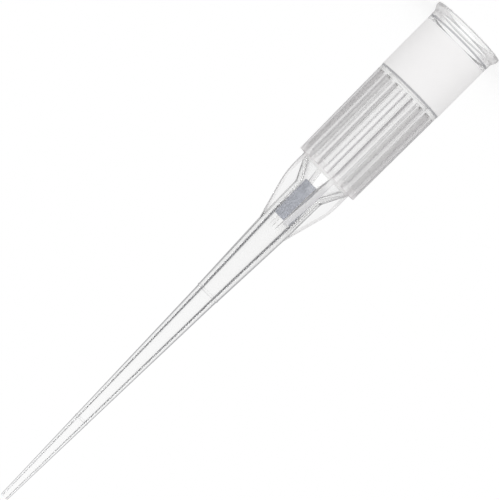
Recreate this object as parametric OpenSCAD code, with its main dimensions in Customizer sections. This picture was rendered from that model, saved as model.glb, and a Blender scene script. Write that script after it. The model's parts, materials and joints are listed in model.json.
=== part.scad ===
// Filter pipette tip for small volumes: a moulded body with a seal collar, a ribbed
// skirt, four fins and a fine tapered channel, and a porous filter pressed into its neck.
// The tip stands on its mouth. Z runs along its axis from the mouth plane to the fine end.

/* [Overall] */
// Length from the mouth to the fine end
total_len = 50; // [47:0.5:56]

/* [Rim] */
// Diameter of the flared rim
rim_d = 6.4; // [6.2:0.05:6.8]
// Height of the flared rim
rim_h = 0.7; // [0.5:0.05:1.1]
// Height of the straight lip at the mouth
lip_h = 0.3; // [0.15:0.05:0.45]
// Height of the plain ring between the rim and the collar
rim_ring_h = 0.4; // [0.2:0.05:0.8]
// Diameter of the mouth, where the lead-in starts
mouth_d = 5.7; // [5.5:0.05:5.9]
// Depth of the lead-in that guides the pipette into the bore
lead_in_h = 0.45; // [0.2:0.05:0.8]
// Rounding of the mouth's outer edge
mouth_round = 0.1; // [0.04:0.02:0.14]

/* [Seal collar] */
// Outside diameter of the smooth collar
collar_d = 5.9; // [5.8:0.02:6.1]
// Diameter of the bore that seals on the pipette
seal_bore_d = 5.2; // [5:0.05:5.4]
// Depth of the seal bore, from the mouth to its stop shelf
seal_depth = 6.3; // [5.5:0.1:7.5]
// Height of the small steps that part the rim, the collar, the skirt and the cones
zone_step = 0.03; // [0.02:0.01:0.06]

/* [Ribbed skirt] */
// Height of the plain ring between the collar and the ribs
ring_h = 0.52; // [0.3:0.02:1]
// Number of ribs
rib_count = 16; // [8:4:24]
// Thickness of a rib
rib_t = 0.5; // [0.3:0.05:0.7]
// Length of the ribs
rib_len = 8.5; // [7:0.25:10]
// Diameter over the ribs at their square ends
rib_end_d = 5.66; // [5.3:0.02:5.8]
// Outside diameter of the tube between the ribs
tube_d = 4.8; // [4.5:0.05:5.1]
// Diameter of the bore below the stop shelf
skirt_bore_d = 3.9; // [3.6:0.05:4.1]
// Chamfer on the inner edge of the stop shelf
shelf_chamfer = 0.1; // [0.05:0.05:0.3]

/* [Fins] */
// Number of fins, one under every fourth rib
fin_count = 4; // [2:2:8]
// Thickness of a fin
fin_t = 0.46; // [0.3:0.02:0.7]
// Diameter over the fins where they leave the ribs
fin_d = 4.88; // [4.4:0.04:5.2]
// Length of the fins beyond the ribs
fin_len = 6; // [5:0.25:7]
// Angle between the axis and a fin's sloping edge
fin_slope = 16; // [14:0.5:20]
// Radius of a fin's shoulder
fin_round = 7; // [3:0.5:10]

/* [Funnel and neck] */
// Length of the outer funnel between the skirt and the neck
funnel_len = 2; // [1.6:0.1:2.6]
// Length of the inner funnel
throat_len = 1.75; // [1.3:0.05:2]
// Rounding where the funnel meets the tube and the neck
funnel_round = 0.8; // [0.2:0.1:1.2]
// Outside diameter of the neck under the funnel
neck_d = 2.74; // [2.5:0.02:3]
// Outside diameter of the neck at its lower end
neck_end_d = 2.66; // [2.4:0.02:2.7]
// Length of the neck
neck_len = 3.3; // [3:0.1:4]

/* [Filter] */
// Diameter of the filter at its narrow end
filter_d = 1.6; // [1.4:0.02:1.8]
// How much wider the filter is at its mouth end
filter_taper = 0.12; // [0.04:0.02:0.2]
// Length of the filter
filter_len = 3.5; // [2.5:0.1:4]
// How far the filter's mouth end lies below the ribs
filter_drop = 1.33; // [1:0.05:1.6]
// Radial gap between the filter's narrow end and its seat
seat_gap = 0.01; // [0.005:0.005:0.03]
// Radial gap between the filter and the throat at its mouth end
throat_gap = 0.07; // [0.04:0.01:0.12]
// Chamfer on the filter's edges
filter_chamfer = 0.06; // [0.02:0.02:0.12]

/* [Cones] */
// Length of the fine cone, from the knee to the end
fine_len = 21.9; // [18:0.1:23.5]
// Outside diameter at the knee
knee_d = 1.97; // [1.8:0.02:2.1]
// Bore diameter at the knee
knee_bore_d = 1.18; // [1:0.02:1.3]
// Outside diameter at the fine end
end_d = 0.66; // [0.58:0.02:0.8]
// Diameter of the orifice
orifice_d = 0.37; // [0.3:0.01:0.44]
// Rounding of the fine end
end_round = 0.04; // [0.02:0.01:0.06]

/* [Volume rings] */
// Distance of the lower volume ring from the fine end
low_ring_len = 8.3; // [6:0.1:12]
// Height of a volume ring above the surface
mark_h = 0.02; // [0.01:0.005:0.04]
// Width of a volume ring
mark_w = 0.14; // [0.08:0.02:0.24]

/* [Hidden] */
$fn = 96;

arc_steps = 6;   // flats in a small rounding
fin_steps = 14;  // flats in a fin's shoulder
cut = 1;         // how far a cut runs past the ends
foot = 0.5;      // how far a fin runs into the rib above it

// Heights above the mouth plane
collar_z = rim_h + rim_ring_h;
ribs_z = seal_depth + ring_h;
skirt_z = ribs_z + rib_len;
throat_z = skirt_z + throat_len;
neck_z = skirt_z + funnel_len;
cone_z = neck_z + neck_len;
knee_z = total_len - fine_len;
fin_end_z = skirt_z + fin_len;
filter_z = skirt_z + filter_drop;
seat_z = filter_z + filter_len;
low_ring_z = total_len - low_ring_len;

// Radii that follow from the sizes above
rim_ring_r = collar_d / 2 + zone_step;
skirt_r = collar_d / 2 - zone_step;
rib_root_r = (tube_d + skirt_bore_d) / 4;
fin_root_r = (neck_d + filter_d) / 4;
filter_r = filter_d / 2;
filter_mouth_r = filter_r + filter_taper / 2;
seat_r = filter_r + seat_gap;
throat_r = filter_mouth_r + throat_gap;
knee_r = knee_d / 2;
end_r = end_d / 2;

// Outline of the neck and both cones, as pairs of height and radius
NECK_LINE = [[neck_z, neck_d / 2], [cone_z, neck_end_d / 2], [knee_z, knee_r + zone_step]];
FINE_LINE = [[knee_z, knee_r], [total_len, end_r]];

function unit(v) = v / norm(v);
function flat(p) = [p[0], p[1]];

// Points that round the corner b of the path a-b-c. The radius shrinks where a side is short.
function corner(a, b, c, radius, steps) =
    let (
        u = unit(a - b),
        v = unit(c - b),
        half = acos(u * v) / 2,
        run = min(radius / tan(half), norm(a - b) * 0.45, norm(c - b) * 0.45),
        r = run * tan(half),
        centre = b + unit(u + v) * r / sin(half),
        first = b + u * run - centre,
        last = b + v * run - centre,
        start = atan2(first[1], first[0]),
        turn = atan2(last[1], last[0]) - start,
        sweep = turn > 180 ? turn - 360 : turn < -180 ? turn + 360 : turn
    )
    [for (i = [0:steps]) centre + r * [cos(start + sweep * i / steps), sin(start + sweep * i / steps)]];

// A closed path of [x, y, radius] points with its corners rounded
function rounded(path, steps) =
    let (n = len(path))
    [for (i = [0:n - 1])
        each (path[i][2] > 0
            ? corner(flat(path[(i + n - 1) % n]), flat(path[i]), flat(path[(i + 1) % n]), path[i][2], steps)
            : [flat(path[i])])];

// Outside of the body as one turned form. The skirt is solid here, as wide as its ribs.
module turned_outside() {
    rotate_extrude()
        polygon(rounded([
            [0, 0, 0],
            [rim_d / 2, 0, mouth_round],
            [rim_d / 2, lip_h, mouth_round],
            [rim_ring_r, rim_h, 0],
            [rim_ring_r, collar_z, 0],
            [collar_d / 2, collar_z, 0],
            [collar_d / 2, seal_depth, 0],
            [skirt_r, seal_depth, 0],
            [rib_end_d / 2, skirt_z, 0],
            [tube_d / 2 - zone_step, skirt_z, 0],
            [neck_d / 2, neck_z, funnel_round],
            [neck_end_d / 2, cone_z, 0],
            [knee_r + zone_step, knee_z, 0],
            [knee_r, knee_z, 0],
            [end_r, total_len, end_round],
            [0, total_len, 0]
        ], arc_steps));
}

// Everything that is hollow: seal bore, stop shelf, skirt bore, throat, filter seat and channel
module hollow() {
    rotate_extrude()
        polygon(rounded([
            [0, -cut, 0],
            [mouth_d / 2, -cut, 0],
            [mouth_d / 2, 0, 0],
            [seal_bore_d / 2, lead_in_h, 0],
            [seal_bore_d / 2, seal_depth, 0],
            [skirt_bore_d / 2 + shelf_chamfer, seal_depth, 0],
            [skirt_bore_d / 2, seal_depth + shelf_chamfer, 0],
            [skirt_bore_d / 2, skirt_z, funnel_round],
            [throat_r, throat_z, funnel_round],
            [seat_r, seat_z, 0],
            [knee_bore_d / 2, knee_z, 0],
            [orifice_d / 2, total_len, 0],
            [orifice_d / 2, total_len + cut, 0],
            [0, total_len + cut, 0]
        ], arc_steps));
}

// A flat web that stands on the axis plane, from one radius to another
module web(inner_r, outer_r, thickness, z, height) {
    translate([inner_r, -thickness / 2, z])
        cube([outer_r - inner_r, thickness, height]);
}

// The gaps that leave the ribs standing on the tube
module rib_gaps() {
    difference() {
        rotate_extrude()
            translate([tube_d / 2, ribs_z])
                square([collar_d - tube_d, rib_len + cut]);
        for (i = [0:rib_count - 1])
            rotate(i * 360 / rib_count)
                web(rib_root_r, collar_d, rib_t, ribs_z - cut, rib_len + 3 * cut);
    }
}

// Form that the fins are cut to: straight, then over a shoulder to the sloping edge
module fin_form() {
    surface_r = lookup(fin_end_z, NECK_LINE);
    shoulder_z = fin_end_z - (fin_d / 2 - surface_r) / tan(fin_slope);
    foot_z = fin_end_z + (surface_r - fin_root_r) / tan(fin_slope);
    rotate_extrude()
        polygon(rounded([
            [0, skirt_z - foot, 0],
            [fin_d / 2, skirt_z - foot, 0],
            [fin_d / 2, shoulder_z, fin_round],
            [fin_root_r, foot_z, 0],
            [0, foot_z, 0]
        ], fin_steps));
}

// The fins, each in line with a rib that it grows out of
module fins() {
    intersection() {
        fin_form();
        for (i = [0:fin_count - 1])
            rotate(i * 360 / fin_count)
                web(fin_root_r, fin_d, fin_t, skirt_z - cut, fin_len + neck_len);
    }
}

// A fine raised ring round the cone
module volume_ring(z, surface_r) {
    translate([0, 0, z - mark_w / 2])
        cylinder(h = mark_w, r = surface_r + mark_h);
}

module tip_body() {
    color([0.92, 0.93, 0.94, 0.6])
        difference() {
            union() {
                difference() {
                    turned_outside();
                    rib_gaps();
                }
                fins();
                volume_ring(knee_z, knee_r + zone_step);
                volume_ring(low_ring_z, lookup(low_ring_z, FINE_LINE));
            }
            hollow();
        }
}

// Sintered plug that wedges where the neck narrows
module filter_plug() {
    color([0.66, 0.68, 0.73])
        rotate_extrude()
            polygon([
                [0, filter_z],
                [filter_mouth_r - filter_chamfer, filter_z],
                [filter_mouth_r, filter_z + filter_chamfer],
                [filter_r, seat_z - filter_chamfer],
                [filter_r - filter_chamfer, seat_z],
                [0, seat_z]
            ]);
}

tip_body();
filter_plug();
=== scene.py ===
import json
import math

import bpy
from mathutils import Matrix, Vector

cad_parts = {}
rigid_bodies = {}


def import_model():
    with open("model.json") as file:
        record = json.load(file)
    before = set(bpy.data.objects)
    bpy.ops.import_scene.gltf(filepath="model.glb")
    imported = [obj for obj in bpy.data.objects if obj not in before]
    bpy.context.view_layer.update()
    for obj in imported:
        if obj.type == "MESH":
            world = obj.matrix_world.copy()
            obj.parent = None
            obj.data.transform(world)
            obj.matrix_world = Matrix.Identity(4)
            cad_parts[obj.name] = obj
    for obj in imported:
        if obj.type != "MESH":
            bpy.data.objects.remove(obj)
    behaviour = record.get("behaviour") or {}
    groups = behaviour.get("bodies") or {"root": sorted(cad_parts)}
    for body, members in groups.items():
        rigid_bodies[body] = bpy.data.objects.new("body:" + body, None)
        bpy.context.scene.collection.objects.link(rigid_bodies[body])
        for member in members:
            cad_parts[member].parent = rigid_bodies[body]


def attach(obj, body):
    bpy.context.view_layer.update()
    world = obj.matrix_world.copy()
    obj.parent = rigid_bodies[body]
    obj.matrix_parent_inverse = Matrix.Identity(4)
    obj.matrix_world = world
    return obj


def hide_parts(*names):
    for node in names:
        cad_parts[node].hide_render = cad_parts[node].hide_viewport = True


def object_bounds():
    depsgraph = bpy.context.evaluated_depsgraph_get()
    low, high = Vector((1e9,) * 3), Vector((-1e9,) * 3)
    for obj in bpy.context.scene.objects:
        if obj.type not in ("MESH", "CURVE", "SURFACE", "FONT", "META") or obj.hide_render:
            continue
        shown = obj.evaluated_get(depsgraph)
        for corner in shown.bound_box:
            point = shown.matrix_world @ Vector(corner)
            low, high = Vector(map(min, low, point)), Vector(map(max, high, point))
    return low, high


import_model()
CAD_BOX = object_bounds()

bl_info = {
    "name": "Filter pipette tip",
    "version": (1, 0, 0),
    "blender": (4, 5, 0),
    "location": "View3D > Sidebar > Pipette tip",
    "description": "Models and finishes a clear filter pipette tip round its CAD frame",
    "category": "Object",
}

MM = 0.001
TURN = 2 * math.pi
FINE = 0.001 * MM                 # how exactly a point has to lie in a plane to be picked
WELD = 0.0002 * MM                # points closer than this are one
SIDE_SHARE = 0.45                 # most of a side that one rounded corner may take
SHARP_EDGE = math.radians(60)     # edges sharper than this are rounded
SMOOTH_EDGE = math.radians(30)    # edges flatter than this are shaded smooth


def length(name, about, millimetres):
    """A size property given in millimetres and kept in metres."""
    return bpy.props.FloatProperty(
        name=name, description=about, default=millimetres * MM, min=0.0,
        subtype="DISTANCE", unit="LENGTH", precision=5,
    )


def colour(name, about, value):
    """An opaque colour property."""
    return bpy.props.FloatVectorProperty(
        name=name, description=about, default=(*value, 1.0), size=4, min=0.0, max=1.0,
        subtype="COLOR",
    )


def share(name, about, value):
    """A property that runs from 0 to 1."""
    return bpy.props.FloatProperty(
        name=name, description=about, default=value, min=0.0, max=1.0, subtype="FACTOR",
    )


def angle(name, about, degrees):
    """An angle property given in degrees and kept in radians."""
    return bpy.props.FloatProperty(
        name=name, description=about, default=math.radians(degrees),
        subtype="ANGLE", unit="ROTATION",
    )


def count(name, about, value, least):
    """A whole-number property."""
    return bpy.props.IntProperty(name=name, description=about, default=value, min=least)


def number(name, about, value, least, most):
    """A property that is a number without a unit."""
    return bpy.props.FloatProperty(
        name=name, description=about, default=value, min=least, max=most,
    )


class TipBodySizes(bpy.types.PropertyGroup):
    """Sizes of the moulded body. Heights are measured from the mouth, which the tip stands on."""

    total_len: length("Length", "Length from the mouth to the fine end", 50.0)
    rim_d: length("Rim", "Diameter of the flared rim", 6.4)
    rim_h: length("Rim height", "Height of the flared rim", 0.7)
    lip_h: length("Lip height", "Height of the straight lip at the mouth", 0.3)
    rim_ring_h: length("Rim ring", "Height of the plain ring between the rim and the collar", 0.4)
    mouth_d: length("Mouth", "Diameter of the mouth, where the lead-in starts", 5.7)
    lead_in_h: length("Lead-in", "Depth of the lead-in", 0.45)
    mouth_round: length("Mouth rounding", "Rounding of the rim's edges", 0.1)
    collar_d: length("Collar", "Outside diameter of the seal collar", 5.9)
    seal_bore_d: length("Seal bore", "Diameter of the bore that seals on the pipette", 5.2)
    seal_depth: length("Seal depth", "Depth of the seal bore to its stop shelf", 6.3)
    zone_step: length("Zone step", "Height of the small steps between the zones", 0.03)
    edge_round: length("Edge rounding", "Rounding of small moulded edges", 0.04)
    ring_h: length("Plain ring", "Height of the plain ring between collar and ribs", 0.52)
    rib_t: length("Rib thickness", "Thickness of a rib", 0.5)
    rib_len: length("Rib length", "Length of the ribs", 8.5)
    rib_end_d: length("Rib ends", "Diameter over the ribs at their square ends", 5.66)
    rib_fillet: length("Rib fillet", "Fillet where a rib meets the tube", 0.07)
    rib_round: length("Rib edge", "Rounding of the ribs' outer edges", 0.07)
    tube_d: length("Tube", "Outside diameter of the tube between the ribs", 4.8)
    skirt_bore_d: length("Skirt bore", "Diameter of the bore below the stop shelf", 3.9)
    shelf_chamfer: length("Shelf chamfer", "Chamfer on the inner edge of the stop shelf", 0.1)
    fin_t: length("Fin thickness", "Thickness of a fin", 0.46)
    fin_d: length("Fins", "Diameter over the fins where they leave the ribs", 4.88)
    fin_len: length("Fin length", "Length of the fins beyond the ribs", 6.0)
    fin_foot: length("Fin foot", "How far a fin runs into the rib above it", 0.5)
    fin_round: length("Fin shoulder", "Radius of a fin's shoulder", 7.0)
    fin_edge: length("Fin edge", "Rounding of the fins' outer edges", 0.1)
    funnel_len: length("Funnel", "Length of the outer funnel", 2.0)
    throat_len: length("Throat", "Length of the inner funnel", 1.75)
    funnel_round: length("Funnel rounding", "Rounding where the funnel meets tube and neck", 0.8)
    neck_d: length("Neck", "Outside diameter of the neck under the funnel", 2.74)
    neck_end_d: length("Neck end", "Outside diameter of the neck at its lower end", 2.66)
    neck_len: length("Neck length", "Length of the neck", 3.3)
    throat_d: length("Throat bore", "Diameter of the bore at the end of the throat", 1.86)
    seat_d: length("Filter seat", "Diameter of the bore at the filter's narrow end", 1.62)
    seat_z: length("Seat height", "Height of the filter's narrow end", 20.15)
    fine_len: length("Fine cone", "Length of the fine cone, from the knee to the end", 21.9)
    knee_d: length("Knee", "Outside diameter at the knee", 1.97)
    knee_bore_d: length("Knee bore", "Bore diameter at the knee", 1.18)
    end_d: length("Fine end", "Outside diameter at the fine end", 0.66)
    orifice_d: length("Orifice", "Diameter of the orifice", 0.37)
    low_ring_len: length("Lower ring", "Distance of the lower volume ring from the fine end", 8.3)
    mark_h: length("Ring height", "Height of a volume ring above the surface", 0.02)
    mark_w: length("Ring width", "Width of a volume ring", 0.14)
    rib_count: count("Ribs", "Number of ribs", 16, 4)
    fin_count: count("Fins", "Number of fins", 4, 2)
    fin_slope: angle("Fin slope", "Angle between the axis and a fin's sloping edge", 16.0)
    round_steps: count("Turned steps", "Faces round the axis in a turned surface", 288, 48)

    # heights that follow from the sizes above
    collar_z = property(lambda s: s.rim_h + s.rim_ring_h)
    ribs_z = property(lambda s: s.seal_depth + s.ring_h)
    skirt_z = property(lambda s: s.ribs_z + s.rib_len)
    throat_z = property(lambda s: s.skirt_z + s.throat_len)
    neck_z = property(lambda s: s.skirt_z + s.funnel_len)
    cone_z = property(lambda s: s.neck_z + s.neck_len)
    knee_z = property(lambda s: s.total_len - s.fine_len)


def unit(v):
    """The direction of a vector."""
    return v / v.length


def corner(before, here, after, radius, steps):
    """Points that round the corner here. The radius shrinks where a side is short."""
    u, v = unit(before - here), unit(after - here)
    half = math.acos(max(-1.0, min(1.0, u.dot(v)))) / 2
    side = min((before - here).length, (after - here).length)
    run = min(radius / math.tan(half), side * SIDE_SHARE)
    r = run * math.tan(half)
    centre = here + unit(u + v) * (r / math.sin(half))
    first, last = here + u * run - centre, here + v * run - centre
    start = math.atan2(first.y, first.x)
    sweep = (math.atan2(last.y, last.x) - start + math.pi) % TURN - math.pi
    turns = (start + sweep * i / steps for i in range(steps + 1))
    return [centre + Vector((math.cos(turn), math.sin(turn))) * r for turn in turns]


def rounded(path, steps=8):
    """A closed path of (x, y, radius) with its corners rounded, as 2-D points."""
    flat = [Vector(p[:2]) for p in path]
    points = []
    for i, (*_, radius) in enumerate(path):
        if radius > 0:
            points += corner(flat[i - 1], flat[i], flat[(i + 1) % len(flat)], radius, steps)
        else:
            points.append(flat[i])
    return points


def height_to_radius(line, z):
    """Radius of an outline of (radius, height) points at a height."""
    for (r0, z0), (r1, z1) in zip(line, line[1:]):
        if z0 <= z <= z1:
            return r0 + (r1 - r0) * (z - z0) / (z1 - z0)
    raise ValueError("height outside the outline")


# ---- hand tools: each works on one piece with Blender's own operators ----

def deselect():
    """Leaves no object selected."""
    bpy.ops.object.select_all(action="DESELECT")


def only(piece):
    """Leaves one piece selected and active."""
    deselect()
    piece.select_set(True)
    bpy.context.view_layer.objects.active = piece


def trace(name, points):
    """Draws a closed outline from one vertex, extruded from point to point. Leaves edit mode on."""
    deselect()
    points = [Vector(p) for p in points]
    bpy.ops.mesh.primitive_plane_add(size=MM, location=points[0])
    piece = bpy.context.object
    piece.name = piece.data.name = name
    bpy.ops.object.mode_set(mode="EDIT")
    bpy.ops.mesh.select_mode(type="VERT")
    bpy.ops.mesh.select_all(action="SELECT")
    bpy.ops.mesh.merge(type="CENTER")
    for here, there in zip(points, points[1:]):
        bpy.ops.mesh.extrude_vertices_move(TRANSFORM_OT_translate={"value": there - here})
    bpy.ops.object.mode_set(mode="OBJECT")
    for vertex in piece.data.vertices:
        vertex.select = vertex.index in (0, len(points) - 1)
    bpy.ops.object.mode_set(mode="EDIT")
    bpy.ops.mesh.edge_face_add()
    bpy.ops.mesh.select_all(action="SELECT")
    return piece


def finish_mesh(piece):
    """Welds the mesh, turns its faces outwards, leaves edit mode and applies the piece's place."""
    bpy.ops.mesh.select_all(action="SELECT")
    bpy.ops.mesh.remove_doubles(threshold=WELD)
    bpy.ops.mesh.normals_make_consistent(inside=False)
    bpy.ops.object.mode_set(mode="OBJECT")
    only(piece)
    bpy.ops.object.transform_apply(location=True, rotation=True, scale=True)


def turned(name, outline, steps):
    """A form turned on the axis from a closed outline of (radius, height) points."""
    piece = trace(name, [(r, 0, z) for r, z in outline])
    bpy.ops.mesh.spin(
        steps=steps, angle=TURN, center=(0, 0, 0), axis=(0, 0, 1), use_auto_merge=True)
    finish_mesh(piece)
    return piece


def slab(name, outline, upright, start, height):
    """A flat-sided form from a closed outline, which lies along the axis if upright, or across."""
    piece = trace(name, [(x, start, y) if upright else (x, y, start) for x, y in outline])
    bpy.ops.mesh.edge_face_add()
    move = (0, height, 0) if upright else (0, 0, height)
    bpy.ops.mesh.extrude_region_move(TRANSFORM_OT_translate={"value": move})
    finish_mesh(piece)
    return piece


def pick(piece, wanted):
    """Enters edit mode with the vertices selected whose place the test wants."""
    only(piece)
    bpy.ops.object.mode_set(mode="EDIT")
    bpy.ops.mesh.select_all(action="DESELECT")
    bpy.ops.object.mode_set(mode="OBJECT")
    for vertex in piece.data.vertices:
        vertex.select = wanted(vertex.co)
    bpy.ops.object.mode_set(mode="EDIT")


def pull_in(piece, height, low_r, high_x, move):
    """Moves the points at a height that lie outside a radius and inside a plane across x.

    The points on the other side of the x axis move the other way along y.
    """
    for side in (1, -1):
        pick(piece, lambda co: abs(co.z - height) < FINE and co.y * side > 0
             and co.xy.length > low_r and co.x < high_x - FINE)
        bpy.ops.transform.translate(value=(move.x, move.y * side, 0))
        bpy.ops.object.mode_set(mode="OBJECT")


def soften(piece, width, segments):
    """Rounds the sharp edges of a piece."""
    only(piece)
    step = piece.modifiers.new("Rounding", "BEVEL")
    step.width, step.segments = width, segments
    step.limit_method, step.angle_limit = "ANGLE", SHARP_EDGE
    bpy.ops.object.modifier_apply(modifier=step.name)


def ring_of(piece, copies, first=0.0):
    """Copies a piece round the axis, each copy with its own mesh, and joins them into one."""
    for i in range(1, copies):
        only(piece)
        bpy.ops.object.duplicate(linked=False)
        bpy.context.object.matrix_world = Matrix.Rotation(first + TURN * i / copies, 4, "Z")
        bpy.ops.object.transform_apply(location=True, rotation=True, scale=True)
        bpy.context.object.select_set(False)
    only(piece)
    if first:
        piece.matrix_world = Matrix.Rotation(first, 4, "Z")
        bpy.ops.object.transform_apply(location=True, rotation=True, scale=True)
    for other in bpy.context.scene.objects:
        if other.name.startswith(piece.name + "."):
            other.select_set(True)
    bpy.ops.object.join()
    return piece


def combine(piece, tool, operation):
    """Cuts a piece with another or joins them. The other one is used up."""
    only(piece)
    step = piece.modifiers.new(operation.title(), "BOOLEAN")
    step.operation, step.object, step.solver = operation, tool, "MANIFOLD"
    bpy.ops.object.modifier_apply(modifier=step.name)
    bpy.data.objects.remove(tool, do_unlink=True)


def even_shading(piece):
    """Smooth shading over the flat edges, with large faces setting the direction of the normals."""
    only(piece)
    bpy.ops.object.shade_smooth_by_angle(angle=SMOOTH_EDGE)
    step = piece.modifiers.new("Even shading", "WEIGHTED_NORMAL")
    step.mode, step.keep_sharp = "FACE_AREA", True
    bpy.ops.object.modifier_apply(modifier=step.name)


def body_outline(s):
    """Half of the body's section as (radius, height, rounding): up the outside, down the inside."""
    rim_ring_r = s.collar_d / 2 + s.zone_step
    knee_r, ring_half = s.knee_d / 2, s.mark_w / 2
    upper_r = knee_r + s.zone_step
    low_z = s.total_len - s.low_ring_len
    low_r = height_to_radius([(knee_r, s.knee_z), (s.end_d / 2, s.total_len)], low_z)
    soft, fine = s.edge_round, s.edge_round / 3
    return [
        (s.mouth_d / 2, 0, soft),
        (s.rim_d / 2, 0, s.mouth_round),
        (s.rim_d / 2, s.lip_h, s.mouth_round),
        (rim_ring_r, s.rim_h, s.mouth_round),
        (rim_ring_r, s.collar_z - soft, soft),
        (s.collar_d / 2, s.collar_z, fine),
        (s.collar_d / 2, s.seal_depth, fine),
        (s.collar_d / 2 - s.zone_step, s.seal_depth, fine),
        (s.rib_end_d / 2, s.skirt_z, 0),
        (s.tube_d / 2 - s.zone_step, s.skirt_z, 0),
        (s.neck_d / 2, s.neck_z, s.funnel_round),
        (s.neck_end_d / 2, s.cone_z, s.funnel_round),
        (upper_r, s.knee_z - ring_half, fine),
        (upper_r + s.mark_h, s.knee_z - ring_half, fine),
        (upper_r + s.mark_h, s.knee_z + ring_half, fine),
        (knee_r, s.knee_z + ring_half, fine),
        (low_r, low_z - ring_half, fine),
        (low_r + s.mark_h, low_z - ring_half, fine),
        (low_r + s.mark_h, low_z + ring_half, fine),
        (low_r, low_z + ring_half, fine),
        (s.end_d / 2, s.total_len, soft),
        (s.orifice_d / 2, s.total_len, fine),
        (s.knee_bore_d / 2, s.knee_z, 0),
        (s.seat_d / 2, s.seat_z, 0),
        (s.throat_d / 2, s.throat_z, s.funnel_round),
        (s.skirt_bore_d / 2, s.skirt_z, s.funnel_round),
        (s.skirt_bore_d / 2, s.seal_depth + s.shelf_chamfer, fine),
        (s.skirt_bore_d / 2 + s.shelf_chamfer, s.seal_depth, fine),
        (s.seal_bore_d / 2, s.seal_depth, soft),
        (s.seal_bore_d / 2, s.lead_in_h, s.mouth_round),
    ]


def rib_gap(s):
    """The cutter for the gap between two ribs. It also rounds the ribs' edges and feet.

    The gap lies on the x axis. Along is the way outwards on a rib, and across is square to it.
    """
    floor_at = (0.25, 0, -0.25)   # places on the floor, as shares of half its angle
    run_out = 4                   # length of the cut beside the rib's edge, in steps of its arc
    fillet_steps = 5
    reach = 1.5                   # depth from which the rib's edge is pulled in, in edge roundings

    half_pitch, half = TURN / s.rib_count / 2, s.rib_t / 2
    tube_r, ring_r, far = s.tube_d / 2, s.collar_d / 2 - s.zone_step, s.rim_d / 2
    along = Vector((math.cos(half_pitch), math.sin(half_pitch)))
    across = Vector((along.y, -along.x))
    root = along * math.sqrt(tube_r ** 2 - half ** 2) + across * half
    top_r = math.sqrt(ring_r ** 2 - half ** 2)
    centre = along * (top_r - s.rib_round) + across * (half - s.rib_round)
    flare = [
        centre + (across * math.cos(turn) + along * math.sin(turn)) * s.rib_round
        for turn in (math.radians(degrees) for degrees in range(0, 90, 15))
    ]
    flare.append(flare[-1] + (flare[-1] - flare[-2]) * run_out)
    wide = math.atan2(root.y, root.x)
    section = [
        *((p.x, p.y, 0) for p in reversed(flare)),
        (root.x, root.y, s.rib_fillet),
        *((tube_r * math.cos(wide * at), tube_r * math.sin(wide * at), 0) for at in floor_at),
        (root.x, -root.y, s.rib_fillet),
        *((p.x, -p.y, 0) for p in flare),
        (far, -along.y * far, 0),
        (far, along.y * far, 0),
    ]
    gap = slab("gap_cutter", rounded(section, fillet_steps), False, s.ribs_z, s.rib_len)
    taper = (s.rib_end_d - s.collar_d) / 2 + s.zone_step
    pull_in(gap, s.skirt_z, top_r - s.rib_round * reach, far, along * taper)
    return gap


def guide_fin(s):
    """One fin, rooted in the middle of the wall and in the rib above it."""
    shoulder_steps, edge_steps = 24, 4
    neck_line = [
        (s.neck_d / 2, s.neck_z),
        (s.neck_end_d / 2, s.cone_z),
        (s.knee_d / 2 + s.zone_step, s.knee_z),
    ]
    fin_r, fin_end_z, slope = s.fin_d / 2, s.skirt_z + s.fin_len, math.tan(s.fin_slope)
    surface_r = height_to_radius(neck_line, fin_end_z)
    root_r, wall_r = (s.neck_d + s.throat_d) / 4, (s.tube_d + s.skirt_bore_d) / 4
    fin = slab("fin", rounded([
        (wall_r, s.skirt_z - s.fin_foot, 0),
        (fin_r, s.skirt_z - s.fin_foot, 0),
        (fin_r, fin_end_z - (fin_r - surface_r) / slope, s.fin_round),
        (root_r, fin_end_z + (surface_r - root_r) / slope, 0),
        (root_r, s.neck_z - s.zone_step, 0),
        (wall_r, s.skirt_z, 0),
    ], shoulder_steps), True, -s.fin_t / 2, s.fin_t)
    soften(fin, s.fin_edge, edge_steps)
    return fin


class TIP_OT_body(bpy.types.Operator):
    """Models the moulded body: turned form, gaps between the ribs and guide fins"""

    bl_idname = "tip.body"
    bl_label = "Moulded body"

    def execute(self, context):
        s = context.scene.tip_body
        body = turned("moulded_body", rounded(body_outline(s)), s.round_steps)
        combine(body, ring_of(rib_gap(s), s.rib_count, TURN / s.rib_count / 2), "DIFFERENCE")
        combine(body, ring_of(guide_fin(s), s.fin_count), "UNION")
        even_shading(body)
        body.data.materials.clear()
        body.data.materials.append(clear_plastic(context.scene.tip_looks, s))
        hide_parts("tip_body")
        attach(body, "root")
        return {"FINISHED"}


# ---- finishes: Math nodes come from expressions, and every node from Finish.node ----

class Socket:
    """A node's output in an expression: each operator adds the Math node for it."""

    def __init__(self, finish, output):
        self.finish, self.output = finish, output

    def __add__(self, other):
        return self.finish.maths("ADD", self, other)

    def __sub__(self, other):
        return self.finish.maths("SUBTRACT", self, other)

    def __rsub__(self, other):
        return self.finish.maths("SUBTRACT", other, self)

    def __mul__(self, other):
        return self.finish.maths("MULTIPLY", self, other)

    def __pow__(self, other):
        return self.finish.maths("POWER", self, other)

    __radd__, __rmul__ = __add__, __mul__

    def larger(self, other):
        """The larger of two values."""
        return self.finish.maths("MAXIMUM", self, other)

    def smaller(self, other):
        """The smaller of two values."""
        return self.finish.maths("MINIMUM", self, other)

    def between(self, low, high):
        """0 below low and 1 above high, with a smooth rise."""
        smooth = {"interpolation_type": "SMOOTHSTEP"}
        return self.finish.node("MapRange", smooth, Value=self, From_Min=low, From_Max=high)

    def within(self, low, high, soft):
        """1 from low to high, falling to 0 over soft on both sides."""
        return self.between(low - soft, low) * (1 - self.between(high, high + soft))


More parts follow.
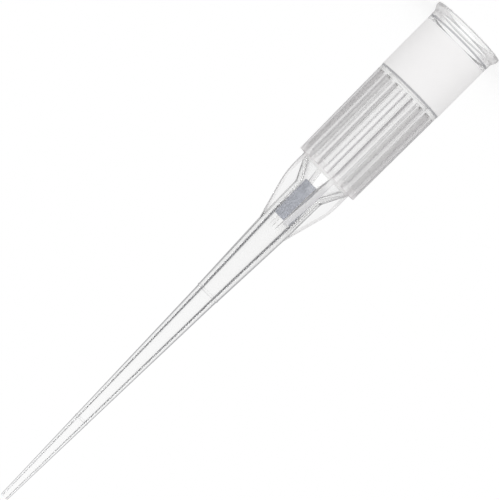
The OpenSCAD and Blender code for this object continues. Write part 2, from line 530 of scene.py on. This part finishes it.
class Finish:
    """The shader nodes of a material or of the world."""

    def __init__(self, owner):
        owner.use_nodes = True
        self.owner, self.tree = owner, owner.node_tree
        self.tree.nodes.clear()

    def node(self, kind, settings=None, output=0, **inputs):
        """Adds a node with its settings, then its sockets' values or links, and gives one output.

        An input is called by its name, with _ for a space, or by _ and its number.
        """
        made = self.tree.nodes.new("ShaderNode" + kind)
        for key, value in (settings or {}).items():
            setattr(made, key, value)
        for key, value in inputs.items():
            slot = made.inputs[int(key[1:]) if key[0] == "_" else key.replace("_", " ")]
            if isinstance(value, Socket):
                self.tree.links.new(value.output, slot)
            else:
                slot.default_value = value
        return Socket(self, made.outputs[output]) if len(made.outputs) else None

    def maths(self, operation, *values):
        """A Math node on numbers and outputs."""
        inputs = {f"_{i}": value for i, value in enumerate(values)}
        return self.node("Math", {"operation": operation}, **inputs)

    def mix_colours(self, factor, first, second):
        """A colour between two colours."""
        return self.node("Mix", {"data_type": "RGBA"}, 2, _0=factor, _6=first, _7=second)

    def mix_shaders(self, factor, first, second):
        """A shader between two shaders."""
        return self.node("MixShader", _0=factor, _1=first, _2=second)

    def done(self, **ends):
        """Links what the output node shows, and gives the finished material or world."""
        world = isinstance(self.owner, bpy.types.World)
        self.node("OutputWorld" if world else "OutputMaterial", **ends)
        return self.owner


class TipLooks(bpy.types.PropertyGroup):
    """Colours and finishes of the tip."""

    # the clear plastic
    plastic: colour("Plastic", "Colour of the clear plastic seen straight on", (1.0, 1.0, 1.0))
    # painted shade: the next colour paints the clear plastic dark at a grazing angle, and the edge
    # power sets how narrow that painted dark edge is
    plastic_edge: colour(
        "Plastic edge", "Colour of the clear plastic at a grazing angle", (0.05, 0.05, 0.055))
    edge_power: number("Edge power", "How narrow the dark edge is", 2.6, 0.5, 12.0)
    edge_white: share("Edge white", "How milky the clear plastic is at a grazing angle", 0.3)
    ior: number("Refraction", "Index of refraction of the plastic", 1.49, 1.0, 3.0)
    haze: colour("Haze", "Colour that the plastic keeps of light passing through", (0.5, 0.5, 0.49))
    haze_density: number(
        "Haze density", "How much of the haze colour a metre of plastic takes", 180.0, 0.0, 1e4)
    soft: length("Softness", "Width over which one zone's finish passes into the next", 0.04)

    # painted shade: dark lines painted inside the wall where light would be caught in it
    trapped: colour("Trapped light", "Colour where light is caught in the wall", (0.45, 0.45, 0.47))
    trapped_head: share("Trapped share, collar", "How much light the collar catches", 0.12)
    trapped_throat: share("Trapped share, throat", "How much light the throat catches", 0.1)
    trapped_neck: share("Trapped share, neck", "How much light the neck catches", 1.0)
    trapped_end: share("Trapped share, fine end", "How much light the fine end catches", 0.45)

    # painted shade: a dark outline, and dark lines at the head's steps and edges
    # painted shade: a dark outline on the neck and cone, darker still on the fine cone
    outline: share("Outline", "How dark the neck and cone are at their outline", 0.6)
    outline_cone: share("Outline, fine cone", "How much darker the fine cone's outline is", 1.0)
    seam: share("Rim seam", "How dark the seam under the rim is", 0.85)
    seam_w: length("Rim seam width", "Width of the seam under the rim", 0.1)
    shelf_seam: share("Shelf seam", "How dark the step below the collar is", 0.8)
    shelf_seam_w: length("Shelf seam width", "Width of the seam below the collar", 0.14)
    mouth_line: share("Mouth line", "How dark the outer edge of the mouth is", 0.35)
    lead_in_line: share("Lead-in line", "How dark the inner end of the lead-in is", 0.5525)
    line_w: length("Line width", "Width of the mouth line and of the lead-in line", 0.08)

    # rim, frosted collar and stop shelf
    rim_white: share("Rim white", "How milky the rim is away from its middle", 0.6)
    frost_start: length("Frosting start", "Distance of the frosting from the collar's end", 0.45)
    frost: share("Frosting", "Roughness of the frosted band", 0.45)
    frost_white: share("Frosting white", "How white the frosted band is", 0.92)
    frost_colour: colour("Frosting colour", "Colour of the frosted band", (0.935, 0.925, 0.925))
    # painted shade: a darker copy of the frosting colour, used at a grazing angle outside the
    # collar and on the ribs' edge lines and flanks
    frost_side: colour(
        "Frosting side", "Colour of the frosted band at a grazing angle", (0.715, 0.70, 0.705))
    shelf_white: share("Shelf white", "How white the stop shelf is", 0.35)

    # ribs, with painted shade on their flanks and a painted dark line along each outer edge
    milk: share("Milkiness", "How milky the ribbed part is, seen straight on", 0.3)
    milk_edge: share("Milky edge", "How much milkier the ribbed part is at a grazing angle", 0.15)
    # painted shade: the dark colour of the ribs' flanks and edge lines, which the fins also take a
    # little of
    flank: colour("Rib flank", "Colour of the plastic at the ribs' flanks", (0.13, 0.11, 0.145))
    # painted shade: a dark line along each rib's outer edge
    rib_line: share("Rib line", "How dark the ribs' outer edges are", 0.7)
    rib_line_w: length("Rib line width", "Width of the dark line on a rib's outer face", 0.15)
    rib_line_h: length("Rib line height", "How far the dark line reaches down the flank", 0.06)

    # fins
    # how far the painted dark edge is kept off the fins
    fin_clear: share("Fin clearness", "How far the fins go without the dark edge", 0.75)
    # painted shade: the fins are painted a little darker with the flank colour
    fin_tint: share("Fin tint", "How far the fins take the ribs' flank colour", 0.1)
    fin_white: share("Fin white", "How white the band along a fin's edge is", 0.62)
    fin_rough: share("Fin roughness", "Roughness of the band along a fin's edge", 0.3)
    fin_band_w: length("Fin band width", "Width of the white band along a fin's edge", 0.15)
    fin_band_soft: length("Fin band softness", "How softly the white band ends inwards", 0.1)
    fin_band_stop: length("Fin band stop", "Where the band fades, from the fin's end", 1.2)
    fin_band_fade: length("Fin band fade", "Length over which the band fades out", 0.8)

    # sintered filter
    # grey-blue and darker than the white filter: partly its own colour, partly painted shade of its
    # place inside the tip
    filter_colour: colour("Filter", "Colour of the sintered filter", (0.63, 0.655, 0.73))
    # painted shade: how bright the pores are painted against the grains
    filter_pores: share("Filter pores", "How bright the pores are next to the grains", 0.88)
    filter_rough: share("Filter roughness", "Roughness of the filter", 0.85)
    filter_relief: share("Filter relief", "How strongly the grains stand out", 0.25)
    grain_w: length("Filter grains", "Size of the filter's grains", 0.09)
    grain_h: length("Filter grain height", "Height of the filter's grains", 0.02)
    speckle_w: length("Filter speckle", "Size of the speckle on the grains", 0.05)


# Where an effect starts and where it is full, as a surface turns from 0, straight on, to 1, edge on
MILKY_TURN = (0.5, 0.8)
RIM_TURN = (0.2, 0.45)
OUTLINE_TURN = (0.6, 0.85)
CONE_OUTLINE_TURN = (0.45, 0.7)
# the band of angles that gets the painted shade inside the wall
WALL_SHADE_RISE = (0.19, 0.27)
WALL_SHADE_FALL = (0.31, 0.43)


class Zones:
    """Masks of the body's zones, each 1 in its zone and 0 elsewhere, with soft borders."""

    def __init__(self, f, looks, s):
        point = f.node("TexCoord", output="Object")
        x, y, height = (f.node("SeparateXYZ", output=axis, Vector=point) for axis in "XYZ")
        radius = (x * x + y * y) ** 0.5
        soft, tube_r = looks.soft, s.tube_d / 2
        bore_r, collar_r = s.seal_bore_d / 2, s.collar_d / 2
        self.height = height
        self.inside = f.node("NewGeometry", output="Backfacing")
        self.outside = 1 - self.inside

        # the head: its outer surface, the rim, the frosted collar and the stop shelf
        self.outer = radius.between(bore_r + soft, collar_r - soft)
        self.rim = 1 - height.between(s.collar_z - 2 * soft, s.collar_z)
        frost_z = s.collar_z + looks.frost_start
        self.collar = height.within(frost_z, s.seal_depth + soft, soft) * self.outer
        self.shelf = height.within(s.seal_depth, s.seal_depth + s.shelf_chamfer, soft) \
            * (1 - radius.between(bore_r - 2 * soft, bore_r - soft))

        # the ribs: where a painted dark line runs along each outer edge, their flanks that take
        # painted shade, and all of the ribbed part
        start_r, half = collar_r - s.zone_step, s.rib_t / 2
        taper = (s.rib_end_d / 2 - start_r) / (s.skirt_z - s.seal_depth)
        rib_r = (height - s.seal_depth) * taper + start_r
        rib_part = height.within(s.ribs_z + soft, s.skirt_z, soft)
        top = (radius - rib_r).between(-looks.rib_line_h - soft, -looks.rib_line_h)
        across = f.maths("PINGPONG", f.maths("ARCTAN2", y, x), math.pi / s.rib_count) * radius
        edge = across.between(half - looks.rib_line_w, half - s.rib_round)
        # where the painted dark line runs along a rib's outer edge
        self.rib_edges = top * rib_part * edge
        self.flanks = radius.between(tube_r + soft, tube_r + 2 * soft) * rib_part * (1 - top)
        self.ribbed = radius.between(tube_r - 2 * soft, tube_r - soft) * rib_part * self.outside

        # the fins, and the band along each outer edge
        self.below_ribs = height.between(s.skirt_z, s.skirt_z + soft)
        taper = (s.tube_d - s.neck_d) / 2 / s.funnel_len
        wall_r = (tube_r - (height - s.skirt_z) * taper).larger(s.neck_d / 2)
        self.fins = (radius - wall_r).between(soft, 3 * soft) * self.below_ribs
        end_z, slope = s.skirt_z + s.fin_len, math.tan(s.fin_slope)
        fin_r = ((end_z - height) * slope + s.neck_end_d / 2).smaller(s.fin_d / 2)
        band = (radius - fin_r).between(-looks.fin_band_w - looks.fin_band_soft, -looks.fin_band_w)
        self.fin_edges = band * height.within(
            s.skirt_z + soft, end_z - looks.fin_band_stop, looks.fin_band_fade)


def painted_step_lines(zones, looks, s):
    """How far each painted dark line at the head's steps and edges covers the surface."""
    def line(start, width):
        return zones.height.within(start, start + width, looks.soft)

    under_rim = line(s.collar_z, looks.seam_w) * zones.outer
    below_collar = line(s.seal_depth + looks.soft, looks.shelf_seam_w) * zones.outer * zones.outside
    mouth = line(0.0, looks.line_w) * zones.outer
    lead_in = line(s.lead_in_h - looks.line_w / 2, looks.line_w) * (1 - zones.outer)
    return under_rim * looks.seam + mouth * looks.mouth_line \
        + below_collar * looks.shelf_seam + lead_in * looks.lead_in_line


def clear_plastic(looks, s):
    """Clear moulded polypropylene, with a frosted collar, milky ribs and whitish fin edges.

    Painted dark lines mark the head's steps and edges, and below the ribs there is a painted dark
    outline and painted shade where light would be caught in the wall.
    """
    f = Finish(bpy.data.materials.new("clear_plastic"))
    zones = Zones(f, looks, s)
    height, inside, outside = zones.height, zones.inside, zones.outside
    facing = f.node("LayerWeight", output="Facing", Blend=0.5)
    # painted dark lines along the ribs' outer edges
    rib_shade_lines = zones.rib_edges * looks.rib_line

    # how much of the surface is white rather than clear, and how rough the clear part is
    # painted shade and milkiness: grows at a grazing angle outside the collar and on the ribs' edge
    # lines and flanks, picks the shaded copy of the white and makes the ribs milkier
    shade_and_milk = (facing * (1 - zones.collar)).larger((rib_shade_lines + zones.flanks).smaller(1.0))
    milky = (shade_and_milk * looks.milk_edge + looks.milk) * zones.ribbed
    turned_away = (facing.between(*MILKY_TURN) * looks.edge_white).larger(
        facing.between(*RIM_TURN) * zones.rim * looks.rim_white)
    veil = (zones.collar * looks.frost_white + zones.shelf * looks.shelf_white + milky
            + zones.fin_edges * looks.fin_white).larger(turned_away * outside)
    rough = (zones.collar + zones.shelf) * looks.frost + zones.fin_edges * looks.fin_rough

    # the clear plastic, with painted shade: a dark edge at a grazing angle, dark lines and flanks
    # on the ribs, and a little on the fins
    # painted dark edge where the surface is seen at a grazing angle, kept off the frosted collar
    # and mostly off the fins
    edge = (facing ** looks.edge_power) * outside \
        * (1 - zones.collar) * (1 - zones.fins * looks.fin_clear)
    # how far the plastic takes the painted dark flank colour: the ribs' flanks at a grazing angle,
    # their edge lines and a little of the fins
    rib_and_fin_shade = zones.flanks * facing.between(*MILKY_TURN) + rib_shade_lines + zones.fins * looks.fin_tint
    shade = f.mix_colours(edge, looks.plastic, looks.plastic_edge)
    shade = f.mix_colours(rib_and_fin_shade * outside, shade, looks.flank)
    glass = f.node(
        "BsdfPrincipled", Base_Color=shade, Roughness=rough,
        IOR=looks.ior, Transmission_Weight=1.0)

    # painted shade: dark lines in the wall where light would be caught, dark lines at the head's
    # steps and edges, and a dark outline
    # how much painted shade each zone's wall takes
    wall_shade_share = (1 - height.between(s.seal_depth, s.ribs_z)) * looks.trapped_head \
        + zones.below_ribs * looks.trapped_throat \
        + height.between(s.neck_z, s.cone_z) * (looks.trapped_neck - looks.trapped_throat) \
        + height.between(s.knee_z, s.total_len) * (looks.trapped_end - looks.trapped_neck)
    turned_half = facing.between(*WALL_SHADE_RISE) * (1 - facing.between(*WALL_SHADE_FALL))
    trapped = turned_half * inside * wall_shade_share
    # painted dark lines under the rim, below the collar, at the mouth's outer edge and at the end
    # of the lead-in
    step_shade = painted_step_lines(zones, looks, s)
    # painted dark outline of the neck and cone, seen from outside
    on_cone = facing.between(*CONE_OUTLINE_TURN) * height.between(s.cone_z, s.knee_z)
    outline = (facing.between(*OUTLINE_TURN) * zones.below_ribs * looks.outline
               + on_cone * looks.outline_cone) * outside
    # the dark diffuse that paints the wall's shade, the head's lines and the outline
    painted_dark = f.node("BsdfDiffuse", Color=looks.trapped)
    clear = f.mix_shaders((trapped + step_shade + outline).smaller(1.0), glass, painted_dark)

    # the white, lit from outside, with a painted shaded copy at a grazing angle and on the ribs'
    # lines and flanks, or seen from within
    face_on = f.node("BsdfDiffuse", Color=looks.frost_colour)
    painted_shade_white = f.node("BsdfDiffuse", Color=looks.frost_side)
    seen_through = f.node("BsdfTranslucent", Color=looks.frost_colour)
    white = f.mix_shaders(inside, f.mix_shaders(shade_and_milk, face_on, painted_shade_white), seen_through)
    surface = f.mix_shaders(veil * (1 - step_shade), clear, white)
    haze = f.node("VolumeAbsorption", Color=looks.haze, Density=looks.haze_density)
    return f.done(Surface=surface, Volume=haze)


def sintered_filter(looks):
    """Sintered filter media: fine grains, with painted shade in the pores between them."""
    grain_part, speckle_part, pore_level = 1.1, 0.5, 0.3
    f = Finish(bpy.data.materials.new("filter_media"))
    point = f.node("TexCoord", output="Object")
    grains = f.node("TexVoronoi", Vector=point, Scale=1 / looks.grain_w, Randomness=1.0)
    speckle = f.node("TexNoise", Vector=point, Scale=1 / looks.speckle_w, Detail=3.0)
    # darker where the grains dip, as painted shade in the pores, with random speckle over it
    pattern = (grains * grain_part + speckle * speckle_part - pore_level).between(0.0, 1.0)
    # painted shade: the darker colour of the pores
    pores = (*(channel * looks.filter_pores for channel in looks.filter_colour[:3]), 1)
    bump = f.node("Bump", Strength=looks.filter_relief, Distance=looks.grain_h, Height=grains)
    return f.done(Surface=f.node(
        "BsdfPrincipled", Base_Color=f.mix_colours(pattern, pores, looks.filter_colour),
        Roughness=looks.filter_rough, Normal=bump))


class FilterSizes(bpy.types.PropertyGroup):
    """Sizes of the filter plug that is wedged in the neck."""

    top_z: length("Mouth end", "Height of the filter's mouth end", 16.65)
    top_d: length("Mouth end diameter", "Diameter of the filter at its mouth end", 1.72)
    seat_d: length("Narrow end diameter", "Diameter of the filter at its narrow end", 1.6)
    edge: length("Edge rounding", "Rounding of the filter's edges", 0.06)
    turned_steps: count("Turned steps", "Faces round the axis", 128, 24)


class TIP_OT_filter(bpy.types.Operator):
    """Models the porous filter plug in the neck"""

    bl_idname = "tip.filter"
    bl_label = "Filter plug"

    def execute(self, context):
        s, seat_z = context.scene.tip_filter, context.scene.tip_body.seat_z
        plug = turned("filter_media_plug", rounded([
            (0, s.top_z, 0),
            (s.top_d / 2, s.top_z, s.edge),
            (s.seat_d / 2, seat_z, s.edge),
            (0, seat_z, 0),
        ]), s.turned_steps)
        even_shading(plug)
        plug.data.materials.clear()
        plug.data.materials.append(sintered_filter(context.scene.tip_looks))
        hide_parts("filter_plug")
        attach(plug, "root")
        return {"FINISHED"}


class StageSizes(bpy.types.PropertyGroup):
    """Floor, lights and camera."""

    distance: length("Camera distance", "Distance of the camera from the axis", 285.0)
    aim_z: length("Aim height", "Height on the axis that the camera looks at", 23.56)
    aim_side: length("Aim offset", "How far the camera stands to the side of the axis", 0.063)
    azimuth: angle("Azimuth", "Direction of the camera round the tip", 17.2)
    roll: angle("Roll", "Turn of the camera about its own line of sight", 135.04)
    lens: number("Lens", "Focal length in millimetres", 270.0, 10.0, 5000.0)
    nearest: length("Nearest view", "Distance from which the camera sees", 10.0)
    farthest: length("Farthest view", "Distance up to which the camera sees", 10000.0)
    floor_w: length("Floor", "Width of the floor", 3000.0)
    floor_tone: share("Floor tone", "Share of the light that the floor gives back", 0.9)
    fill: share("Fill light", "Light that comes evenly from all round", 0.54)
    key: share("Key light", "Light that the key light adds to a surface that faces it", 0.27)
    key_spread: angle("Key light spread", "How wide the key light looks from the tip", 50.0)
    key_side: angle("Key light side", "How far round the tip the key light is from the camera", 0.0)
    key_height: angle("Key light height", "How high the key light stands", 40.0)


WHITE = (1, 1, 1, 1)


def stage_white(tone, light):
    """A pale floor that keeps the tip's shadow.

    It is white in the open, and plain white where it shows through the plastic or in its gloss.
    """
    f = Finish(bpy.data.materials.new("floor_white"))
    plain = f.node("BsdfDiffuse", Color=(tone, tone, tone, 1))
    glow = f.node("Emission", Color=WHITE, Strength=1 - tone * light)
    white = f.node("Emission", Color=WHITE, Strength=1.0)
    through = f.node("LightPath", output="Is Transmission Ray")
    shine = f.node("LightPath", output="Is Glossy Ray")
    lit = f.node("AddShader", _0=plain, _1=glow)
    return f.done(Surface=f.mix_shaders(through.larger(shine), lit, white))


def studio(fill):
    """Even light from all round, plain white where the camera, gloss or glass shows it."""
    f = Finish(bpy.data.worlds.new("studio"))
    seen = f.node("LightPath", output="Is Camera Ray")
    through = f.node("LightPath", output="Is Transmission Ray")
    shine = f.node("LightPath", output="Is Glossy Ray")
    strength = seen.larger(through).larger(shine) * (1 - fill) + fill
    return f.done(Surface=f.node("Background", Color=WHITE, Strength=strength))


class TIP_OT_stage(bpy.types.Operator):
    """Builds the floor, the lights and the camera"""

    bl_idname = "tip.stage"
    bl_label = "Stage"

    def execute(self, context):
        s = context.scene.tip_stage
        lowest = CAD_BOX[0].z
        deselect()
        bpy.ops.mesh.primitive_plane_add(size=s.floor_w, location=(0, 0, lowest))
        floor = bpy.context.object
        floor.name = "floor"
        light = s.fill + s.key * math.sin(s.key_height)
        floor.data.materials.append(stage_white(s.floor_tone, light))
        context.scene.world = studio(s.fill)

        # a sun of strength pi lights a surface that faces it as an even world of strength 1 does
        around, level = s.azimuth + s.key_side, math.cos(s.key_height)
        from_key = Vector((
            math.sin(around) * level, -math.cos(around) * level, math.sin(s.key_height)))
        bpy.ops.object.light_add(type="SUN", location=from_key * s.distance)
        key = bpy.context.object
        key.name = "key_light"
        key.rotation_euler = from_key.to_track_quat("Z", "Y").to_euler()
        key.data.angle, key.data.energy = s.key_spread, s.key * math.pi

        # the camera stands square to the axis and is turned about its line of sight
        toward = Vector((math.sin(s.azimuth), -math.cos(s.azimuth), 0))
        up = Vector((0, 0, 1))
        right = (-toward).cross(up)
        place = toward * s.distance + up * s.aim_z + right * s.aim_side
        bpy.ops.object.camera_add(location=place)
        camera = bpy.context.object
        camera.name = "camera"
        turn, flip = math.cos(s.roll), math.sin(s.roll)
        image_x = right * turn - up * flip
        image_y = up * turn + right * flip
        camera.rotation_euler = Matrix((image_x, image_y, toward)).transposed().to_euler()
        camera.data.lens = s.lens
        camera.data.clip_start, camera.data.clip_end = s.nearest, s.farthest
        context.scene.camera = camera
        context.scene.view_settings.view_transform = "Standard"
        return {"FINISHED"}


class TIP_PT_panel(bpy.types.Panel):
    """Lists the tip's pieces and their sizes"""

    bl_idname = "TIP_PT_panel"
    bl_label = "Pipette tip"
    bl_space_type = "VIEW_3D"
    bl_region_type = "UI"
    bl_category = "Pipette tip"

    def draw(self, context):
        for operator in OPERATORS:
            self.layout.operator(operator.bl_idname)
        for name in GROUPS:
            box = self.layout.box()
            group = getattr(context.scene, name)
            box.label(text=group.bl_rna.name)
            for key in group.__annotations__:
                box.prop(group, key)


GROUPS = {
    "tip_body": TipBodySizes,
    "tip_filter": FilterSizes,
    "tip_looks": TipLooks,
    "tip_stage": StageSizes,
}
OPERATORS = (TIP_OT_body, TIP_OT_filter, TIP_OT_stage)
CLASSES = (*GROUPS.values(), *OPERATORS, TIP_PT_panel)


def register():
    for cls in CLASSES:
        bpy.utils.register_class(cls)
    for name, cls in GROUPS.items():
        setattr(bpy.types.Scene, name, bpy.props.PointerProperty(type=cls))


def unregister():
    for name in GROUPS:
        delattr(bpy.types.Scene, name)
    for cls in reversed(CLASSES):
        bpy.utils.unregister_class(cls)


def main():
    """Models the tip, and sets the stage."""
    register()
    bpy.ops.tip.body()
    bpy.ops.tip.filter()
    bpy.ops.tip.stage()


if __name__ == "__main__":
    main()
